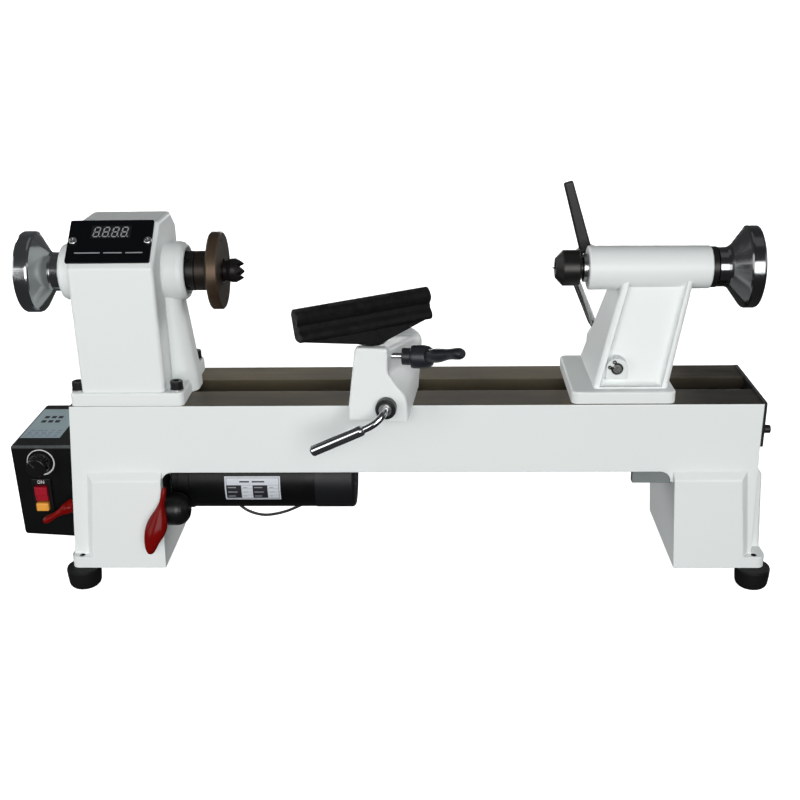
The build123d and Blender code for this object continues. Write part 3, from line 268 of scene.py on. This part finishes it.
def bronze():
    """Turned faceplate: brown plate, its hub blackened."""
    t = Tree("bronze_plate")
    x, _, _ = t.xyz()
    r = t.round_x(0.0, S * MM)
    rings = t.noise(1.0, 3.0, 0.6, dims="1D", w=t.math("ADD", t.math("MULTIPLY", r, 1500.0), t.math("MULTIPLY", x, 1250.0)))
    blot = t.noise(26.0, 5.0, 0.62)
    c = t.mix(t.span(blot, 0.0, 1.0), (0.072, 0.047, 0.030), (0.125, 0.086, 0.057))
    c = t.mix(t.math("MULTIPLY", t.span(rings, 0.0, 1.0), 0.35), c, (0.060, 0.038, 0.022))
    hub = t.math("SUBTRACT", 1.0, t.above(x, -208.6 * MM, 0.0012))
    c = t.mix(t.math("MULTIPLY", hub, 0.86), c, (0.016, 0.014, 0.013))
    # painted shade: the front face of the plate darker than its rim
    c = t.mix(t.math("MULTIPLY", t.above(x, -196.0 * MM, 0.0002), 0.72), c, (0.030, 0.021, 0.015))
    t.set("Base Color", c)
    t.set("Metallic", 0.7)
    t.set("Roughness", t.span(blot, 0.34, 0.48))
    t.bumps([(rings, 0.16, 0.00012)], 0.0006)
    return t.mat


M["bronze"] = bronze()
M["oxide"] = turned_metal("black_oxide", (0.020, 0.019, 0.018), 0.34, fine=0.6, metal=0.6)
def capped():
    """Black cap screws on bright washers."""
    t = Tree("cap_screws")
    _, _, z = t.xyz()
    head = t.above(z, (B + 15.55) * MM, 0.00005)
    n = t.noise(90.0, 4.0, 0.6)
    t.set("Base Color", t.mix(head, t.mix(t.span(n, 0.0, 1.0), (0.58, 0.58, 0.57), (0.72, 0.72, 0.71)), t.mix(t.span(n, 0.0, 1.0), (0.012, 0.012, 0.013), (0.022, 0.022, 0.023))))
    t.set("Metallic", t.fmix(head, 0.85, 0.4))
    t.set("Roughness", t.fmix(head, 0.30, 0.34))
    t.bumps([(n, 0.06, 0.0003)], 0.0005)
    return t.mat


M["capped"] = capped()
M["oxide_plain"] = plain("black_oxide_bar", (0.018, 0.018, 0.019), 0.4, 0.36, 240.0, 0.10, 0.0004)
M["cast_black"] = cast_black()
def box_paint():
    """Matt black sheet metal, with a painted grey highlight along its front top fold."""
    t = Tree("box_paint")
    x, y, z = t.xyz()
    speck = t.noise(70.0, 4.0, 0.6)
    c = t.mix(t.span(t.noise(18.0, 4.0), 0.0, 1.0), (0.0028, 0.0031, 0.0030), (0.0037, 0.0040, 0.0039))
    # painted highlight: grey along the box's front top fold
    edge_highlight_mask = t.math("MULTIPLY", t.above(z, (B - 57.0) * MM, 0.0010), t.math("SUBTRACT", 1.0, t.above(y, -33.6 * MM, 0.0010)))
    painted_highlight = t.math("MULTIPLY", edge_highlight_mask, t.span(speck, 0.45, 1.0))
    t.set("Base Color", t.mix(painted_highlight, c, (0.105, 0.115, 0.115)))
    t.set("Metallic", 0.0)
    t.set("Roughness", t.span(t.noise(35.0, 4.0, 0.6), 0.37, 0.47))
    t.set("Specular IOR Level", 0.14)
    t.bumps([(t.noise(900.0, 3.0, 0.6), 0.08, 0.00035)], 0.0012)
    return t.mat


M["box_paint"] = box_paint()
M["knob_black"] = plain("knob_black", (0.0050, 0.0050, 0.0054), 0.0, 0.20, 400.0, 0.03, 0.0002, 0.10, 0.05, 0.0008, spec=0.50)
M["box_black"] = plain("box_black", (0.0032, 0.0035, 0.0034), 0.0, 0.42, 900.0, 0.10, 0.00035, 0.10, 0.05, 0.0012, spec=0.14)
M["plate_black"] = plain("plate_black", (0.0024, 0.0031, 0.0040), 0.0, 0.30, 700.0, 0.03, 0.0002, 0.10, 0.04, 0.0006, spec=0.14)
M["motor_black"] = plain("motor_black", (0.0030, 0.0032, 0.0034), 0.0, 0.36, 300.0, 0.06, 0.0004, 0.10, 0.06, 0.0008, spec=0.18)
M["motor_grey"] = plain("motor_grey", (0.0075, 0.0080, 0.0095), 0.0, 0.46, 600.0, 0.10, 0.0003, 0.10, 0.06, 0.0010, spec=0.30)
M["end_black"] = plain("end_black", (0.012, 0.012, 0.013), 0.1, 0.36, 400.0, 0.06, 0.0003)
M["plastic_black"] = plain("plastic_black", (0.0052, 0.0052, 0.0056), 0.0, 0.34, 650.0, 0.08, 0.0002, 0.10, 0.06, 0.0006, spec=0.34)
M["slate"] = plain("handle_slate", (0.0125, 0.0145, 0.0190), 0.0, 0.36, 500.0, 0.08, 0.0002, 0.12, 0.06, 0.0006, spec=0.40)
M["red"] = plain("red_lever", (0.165, 0.0030, 0.0023), 0.0, 0.20, 160.0, 0.04, 0.0005, 0.14, 0.05, 0.0006, spec=0.10)
M["rocker"] = plain("rocker_red", (0.33, 0.010, 0.022), 0.0, 0.26, 300.0, 0.03, 0.0002, 0.08, 0.05, 0.0006, spec=0.30)
M["key"] = plain("key_orange", (0.74, 0.33, 0.05), 0.0, 0.34, 300.0, 0.04, 0.0002, 0.10, 0.05, 0.0006)
M["rubber"] = plain("rubber_foot", (0.0048, 0.0050, 0.0051), 0.0, 0.60, 420.0, 0.20, 0.0004, 0.14, 0.06, 0.0012, spec=0.18)
M["belt"] = plain("belt_rubber", (0.010, 0.010, 0.010), 0.0, 0.60, 500.0, 0.15, 0.0003)
M["jacket"] = plain("lead_jacket", (0.008, 0.008, 0.0085), 0.0, 0.48, 500.0, 0.08, 0.0002, edge=0.0)
M["board"] = plain("board_green", (0.015, 0.10, 0.035), 0.0, 0.40, 300.0, 0.05, 0.0002)
M["window"] = plain("smoked_window", (0.010, 0.011, 0.012), 0.0, 0.12, 200.0, 0.01, 0.0001, edge=0.0004)

USE = {
    "bed": "bed", "headstock": "enamel", "rest_base": "enamel", "tailstock": "enamel", "belt_door": "enamel",
    "end_plate": "end_black", "end_plate_screws": "oxide_plain", "control_box": "box_paint", "control_box_cover": "box_black",
    "motor_can": "motor_black", "motor_bracket": "motor_black", "motor_end_cover": "motor_grey", "display_plate": "plate_black",
    "headstock_handwheel": "chrome_l", "tail_handwheel": "chrome_shaded", "rest_lever": "chrome_bar", "tail_lever": "chrome_bar", "display_screws": "chrome_pale",
    "spindle": "steel", "spindle_bearings": "steel", "quill": "quill", "tail_thrust_ring": "oxide", "live_center_arbor": "oxide", "tail_screw": "steel", "spindle_pulley": "steel",
    "motor_pulley": "steel_plain", "motor_armature": "steel_plain", "post_lock_stud": "chrome_pale", "rest_post": "steel_plain", "rest_clamp_shaft": "steel_plain",
    "tail_clamp_shaft": "steel_plain", "rest_eye_bolt": "steel_plain", "tail_eye_bolt": "steel_plain", "leg_pivots": "steel_plain",
    "headstock_bolts": "capped", "spindle_collar": "oxide", "drive_center": "oxide", "live_center": "oxide", "rest_lever_hub": "oxide_plain",
    "tail_lever_hub": "oxide_plain", "tail_circlip": "oxide_plain", "quill_lock_lever": "oxide_plain", "rest_clamp_plate": "oxide_plain", "tail_clamp_plate": "oxide_plain",
    "faceplate": "bronze", "tool_rest": "cast_black", "tension_hub": "plastic_black", "post_lock_handle": "slate", "speed_knob": "knob_black",
    "speed_potentiometer": "plastic_black", "switch_housing": "plastic_black", "tension_lever": "red", "motor_lock_lever": "red", "switch_rocker": "rocker",
    "switch_key": "key", "control_board": "board", "display_module": "window", "rubber_feet": "rubber", "drive_belt": "belt", "motor_lead": "jacket",
}
for name, obj in NODE.items():
    obj.data.materials.clear()
    obj.data.materials.append(M[USE[name]])


# ---------------------------------------------------------------- printed details
def ink(name, color, rough=0.6, metal=0.0):
    return plain(name, color, metal, rough, 700.0, 0.03, 0.0001, 0.05, 0.05, 0.0)


INK_WHITE = ink("ink_white", (0.62, 0.63, 0.63))
INK_DARK = ink("ink_dark", (0.008, 0.008, 0.013))
INK_GREY = ink("ink_grey", (0.30, 0.31, 0.32))
FOIL = plain("label_foil", (0.36, 0.46, 0.49), 0.0, 0.55, 700.0, 0.03, 0.0001, 0.05, 0.05, 0.0, spec=0.20)
PAPER = ink("label_pale", (0.60, 0.63, 0.68), 0.38)
LIT = ink("figure_grey", (0.31, 0.325, 0.33), 0.35)


class Print:
    """A thin printed piece: polygons in mm, lifted slightly off their carrier."""

    def __init__(self, name, body, slot):
        self.name, self.body, self.slot = name, body, slot
        self.v, self.f, self.m, self.mats = [], [], [], []

    def add(self, pts, mat):
        if mat not in self.mats:
            self.mats.append(mat)
        k = len(self.v)
        self.v += [tuple(c * MM for c in p) for p in pts]
        self.f.append(tuple(range(k, k + len(pts))))
        self.m.append(self.mats.index(mat))

    def done(self, thick=0.06):
        me = bpy.data.meshes.new(self.name)
        me.from_pydata(self.v, [], self.f)
        for mat in self.mats:
            me.materials.append(mat)
        for p, i in zip(me.polygons, self.m):
            p.material_index = i
        me.update()
        o = bpy.data.objects.new(self.name, me)
        scene.collection.objects.link(o)
        s = o.modifiers.new("film", "SOLIDIFY")
        s.thickness = thick * MM
        s.offset = -1.0
        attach(o, self.body)
        return o


# seven-segment figures on the sloped window
SLN = math.hypot(41.5, 38.0)
UP = Vector((0, 41.5 / SLN, 38.0 / SLN))
OUT = Vector((0, -38.0 / SLN, 41.5 / SLN))
ORG = Vector((0, -58.0, B + 144.0))


def on_panel(u, v, h):
    return tuple(ORG + Vector((u, 0, 0)) + UP * v + OUT * h)


digits = Print("display_figures", "frame", "display")


def seg(cx, cy, pts):
    digits.add([on_panel(cx + a + 0.17 * b, cy + b, 1.80) for a, b in pts], LIT)


W2, H2, T2 = 2.65, 5.5, 0.62
for k in range(4):
    ox, oy = -300.5 - 14.1 + 9.3 * k, 42.7
    for b0 in (H2, 0.0, -H2):
        seg(ox, oy, [(-W2 + 0.35, b0), (-W2 + 0.35 + T2, b0 + T2), (W2 - 0.35 - T2, b0 + T2), (W2 - 0.35, b0), (W2 - 0.35 - T2, b0 - T2), (-W2 + 0.35 + T2, b0 - T2)])
    for a0 in (-W2, W2):
        for lo, hi in ((0.35, H2 - 0.35), (-H2 + 0.35, -0.35)):
            seg(ox, oy, [(a0, lo), (a0 - T2, lo + T2), (a0 - T2, hi - T2), (a0, hi), (a0 + T2, hi - T2), (a0 + T2, lo + T2)])
    dot = [(W2 + 1.75 + 0.62 * math.cos(i * math.pi / 6), -H2 + 0.62 * math.sin(i * math.pi / 6)) for i in range(12)]
    seg(ox, oy, dot)
digits.done(0.05)

# three thin rules under the figures
rules = Print("display_rules", "frame", "black_paint")
for u0, u1 in ((-334.0, -308.5), (-305.0, -286.5), (-283.0, -266.0)):
    rules.add([on_panel(u, v, 2.10) for u, v in ((u0, 17.0), (u1, 17.0), (u1, 18.3), (u0, 18.3))], INK_GREY)
rules.done(0.05)

# open ring of the speed dial, growing thicker towards its end
KX, KZ = -401.5, B - 73.5
dial = Print("speed_dial_ring", "frame", "black_plastic")
A0, A1, STEPS = 190.0, -86.0, 72
for i in range(STEPS):
    q = []
    for j in (i, i + 1):
        a = math.radians(A0 + (A1 - A0) * j / STEPS)
        w = 0.35 + 0.55 * j / STEPS
        q.append((a, 14.4 - w, 14.4 + w))
    (a, r0, r1), (b, s0, s1) = q
    dial.add([(KX + r0 * math.cos(a), -36.12, KZ + r0 * math.sin(a)), (KX + r1 * math.cos(a), -36.12, KZ + r1 * math.sin(a)),
              (KX + s1 * math.cos(b), -36.12, KZ + s1 * math.sin(b)), (KX + s0 * math.cos(b), -36.12, KZ + s0 * math.sin(b))], INK_WHITE)
dial.done(0.08)

# the word over the switch, as strokes
word = Print("switch_word", "frame", "black_plastic")
SX, SZ2 = -403.4, B - 113.5
zc, hh, ww, st = SZ2 + 18.2, 1.75, 1.40, 0.30
for i in range(20):
    a, b = math.radians(18 * i), math.radians(18 * (i + 1))
    ox = SX + 0.3 - 2.1
    word.add([(ox + (ww - st) * math.cos(a), -39.5, zc + (hh - st) * math.sin(a)), (ox + (ww + st) * math.cos(a), -39.5, zc + (hh + st) * math.sin(a)),
              (ox + (ww + st) * math.cos(b), -39.5, zc + (hh + st) * math.sin(b)), (ox + (ww - st) * math.cos(b), -39.5, zc + (hh - st) * math.sin(b))], INK_WHITE)
nx = SX + 0.3 + 1.9
for x0 in (nx - ww, nx + ww):
    word.add([(x0 - st, -39.5, zc - hh - st), (x0 + st, -39.5, zc - hh - st), (x0 + st, -39.5, zc + hh + st), (x0 - st, -39.5, zc + hh + st)], INK_WHITE)
word.add([(nx - ww - st, -39.48, zc + hh + st), (nx - ww + st, -39.48, zc + hh + st), (nx + ww + st, -39.48, zc - hh - st), (nx + ww - st, -39.48, zc - hh - st)], INK_WHITE)
word.done(0.05)

# foil label on the control box: plain blocks and rules
foil = Print("control_box_label", "frame", "black_paint")
ZL = B - 54 + 0.14


def flat(x0, x1, y0, y1, mat, z=ZL):
    foil.add([(x0, y0, z), (x1, y0, z), (x1, y1, z), (x0, y1, z)], mat)


flat(-429.0, -385, -15, 69, FOIL)
for row in range(2):
    for col in range(3):
        x0 = -420.2 + 7.8 * col
        y0 = 28.4 + 12.6 * row
        flat(x0 - 0.3, x0 + 5.0, y0, y0 + 7.2, INK_DARK, ZL + 0.05)
INK_VIOLET = ink("ink_violet", (0.20, 0.22, 0.34))
for i in range(4):
    for j in range(5):
        x0 = -425.5 + 7.6 * j + (1.3 * i) % 2.1
        flat(x0, x0 + 3.4 + (1.7 * (i + 2 * j)) % 2.9, -11.0 + 5.2 * i, -9.0 + 5.2 * i, INK_VIOLET, ZL + 0.05)
foil.done(0.10)

# ruled label on the motor
tag = Print("motor_label", "motor", "black_paint")
TR = MOTOR_Z


def band(x0, x1, h0, h1, mat, r=36.22):
    """Patch on the can between heights h0 and h1 round its front."""
    n = max(2, int(abs(h1 - h0) / 1.2))
    for i in range(n):
        p, q = h0 + (h1 - h0) * i / n, h0 + (h1 - h0) * (i + 1) / n
        a, b = p / 36.2, q / 36.2
        tag.add([(x0, -r * math.cos(a), TR + r * math.sin(a)), (x1, -r * math.cos(a), TR + r * math.sin(a)),
                 (x1, -r * math.cos(b), TR + r * math.sin(b)), (x0, -r * math.cos(b), TR + r * math.sin(b))], mat)


LX0, LX1, LH0, LH1 = -205.0, -145.0, -16.2, 12.7
band(LX0, LX1, LH0, LH1, PAPER)
for x0, x1, h0, h1 in ((LX0 + 1.5, LX1 - 1.5, LH0 + 1.5, LH0 + 1.9), (LX0 + 1.5, LX1 - 1.5, LH1 - 1.9, LH1 - 1.5), (LX0 + 1.5, LX0 + 1.9, LH0 + 1.5, LH1 - 1.5), (LX1 - 1.9, LX1 - 1.5, LH0 + 1.5, LH1 - 1.5)):
    band(x0, x1, h0, h1, INK_DARK, 36.27)
band(-189.0, -178.5, 6.0, 7.6, INK_DARK, 36.27)
band(-175.5, -162.0, 6.0, 7.6, INK_DARK, 36.27)
for x0, x1, x2 in ((-203.4, -187.2, -175.4), (-174.9, -158.9, -147.2)):
    band(x0, x1, -13.6, 2.9, INK_DARK, 36.27)
    for i in range(5):
        h = -13.6 + 16.5 * i / 4.0
        band(x1, x2, h - 0.18, h + 0.18, INK_GREY, 36.27)
    for i in range(3):
        h = -10.8 + 5.5 * i
        band(x0 + 1.6, x0 + 9.5 + (i * 2.3) % 3.6, h - 0.55, h + 0.55, INK_GREY, 36.30)
        band(x1 + 2.0, x1 + 5.5 + (i * 1.9) % 2.8, h - 0.45, h + 0.45, INK_GREY, 36.30)
tag.done(0.05)

# ---------------------------------------------------------------- stage
def cyclorama():
    me = bpy.data.meshes.new("stage_floor")
    R, R0, N = 1.6, 3.8, 96
    prof = [(0.6, 0.0), (1.6, 0.0), (R0, 0.0)]
    for i in range(1, 25):
        a = math.radians(90.0 * i / 24)
        prof.append((R0 + R * math.sin(a), R - R * math.cos(a)))
    prof.append((R0 + R, 7.0))
    v, f = [(0.0, 0.0, 0.0)], []
    for r, z in prof:
        v += [(r * math.cos(2 * math.pi * k / N), r * math.sin(2 * math.pi * k / N), z) for k in range(N)]
    for k in range(N):
        f.append((0, 1 + k, 1 + (k + 1) % N))
    for i in range(len(prof) - 1):
        for k in range(N):
            p, q = 1 + i * N + k, 1 + i * N + (k + 1) % N
            f.append((p, p + N, q + N, q))
    me.from_pydata(v, [], f)
    for p in me.polygons:
        p.use_smooth = True
    o = bpy.data.objects.new("stage_floor", me)
    scene.collection.objects.link(o)
    t = Tree("stage_white")
    t.set("Base Color", (0.90, 0.905, 0.91, 1.0))
    t.set("Roughness", 0.85)
    t.set("Specular IOR Level", 0.15)
    t.set("Emission Color", (1.0, 1.0, 1.0, 1.0))
    t.set("Emission Strength", 0.93)
    me.materials.append(t.mat)
    o.visible_diffuse = False
    o.visible_glossy = False
    o.visible_shadow = False


cyclorama()


def area(name, loc, aim, size, power, size_y=None, color=(1, 1, 1)):
    d = bpy.data.lights.new(name, "AREA")
    d.energy = power
    d.color = color
    d.shape = "RECTANGLE"
    d.size = size
    d.size_y = size_y or size
    o = bpy.data.objects.new(name, d)
    o.location = loc
    o.rotation_euler = (Vector(aim) - Vector(loc)).to_track_quat("-Z", "Y").to_euler()
    o.visible_camera = False
    scene.collection.objects.link(o)
    return o


area("key", (0.25, -2.7, 0.86), (0, 0, 0.25), 2.0, 60.0, 1.5)
area("fill", (-1.9, -2.1, 0.72), (0, 0, 0.25), 1.2, 17.0, 1.4)
area("back", (0.0, 3.2, 0.36), (0, 0, 0.20), 2.6, 19.0, 0.5)
area("top", (0.2, 0.2, 2.6), (0, 0, 0.2), 2.6, 2.0, 1.4)
for side in (-1, 1):
    area("side_%d" % (side + 1), (2.7 * side, -0.5, 0.85), (0, 0, 0.25), 1.3, 5.0 if side > 0 else 9.0, 1.3)
    area("rear_%d" % (side + 1), (2.7 * side, 1.95, 0.80), (0, 0, 0.25), 1.4, 36.0, 1.3)

world = bpy.data.worlds.new("studio")
scene.world = world
world.use_nodes = True
wn = world.node_tree
bg = wn.nodes["Background"]
bg.inputs["Strength"].default_value = 1.0
tc = wn.nodes.new("ShaderNodeTexCoord")
sep = wn.nodes.new("ShaderNodeSeparateXYZ")
wn.links.new(tc.outputs["Generated"], sep.inputs[0])
ramp = wn.nodes.new("ShaderNodeValToRGB")
wn.links.new(sep.outputs[2], ramp.inputs[0])
e = ramp.color_ramp.elements
e[0].position, e[0].color = 0.0, (0.05, 0.05, 0.052, 1)
e[1].position, e[1].color = 0.75, (0.075, 0.077, 0.080, 1)
m1 = e.new(0.25)
m1.color = (0.115, 0.117, 0.120, 1)
wn.links.new(ramp.outputs[0], bg.inputs["Color"])

# ---------------------------------------------------------------- camera
PITCH, ROLL, YAW = (math.radians(v) for v in (21.15, 0.87, -1.78))
fwd = Vector((math.sin(YAW) * math.cos(PITCH), math.cos(YAW) * math.cos(PITCH), -math.sin(PITCH)))
right = Vector((math.cos(YAW), -math.sin(YAW), 0.0))
up = right.cross(fwd)
r2 = right * math.cos(ROLL) - up * math.sin(ROLL)
u2 = right * math.sin(ROLL) + up * math.cos(ROLL)
cam = bpy.data.cameras.new("camera")
cam.sensor_width = 36.0
cam.sensor_fit = "HORIZONTAL"
cam.lens = 49.5
cam.clip_end = 60.0
co = bpy.data.objects.new("camera", cam)
scene.collection.objects.link(co)
m = Matrix((r2, u2, -fwd)).transposed().to_4x4()
m.translation = Vector((0.01854, -1.10264, 0.61541))
co.matrix_world = m
scene.camera = co
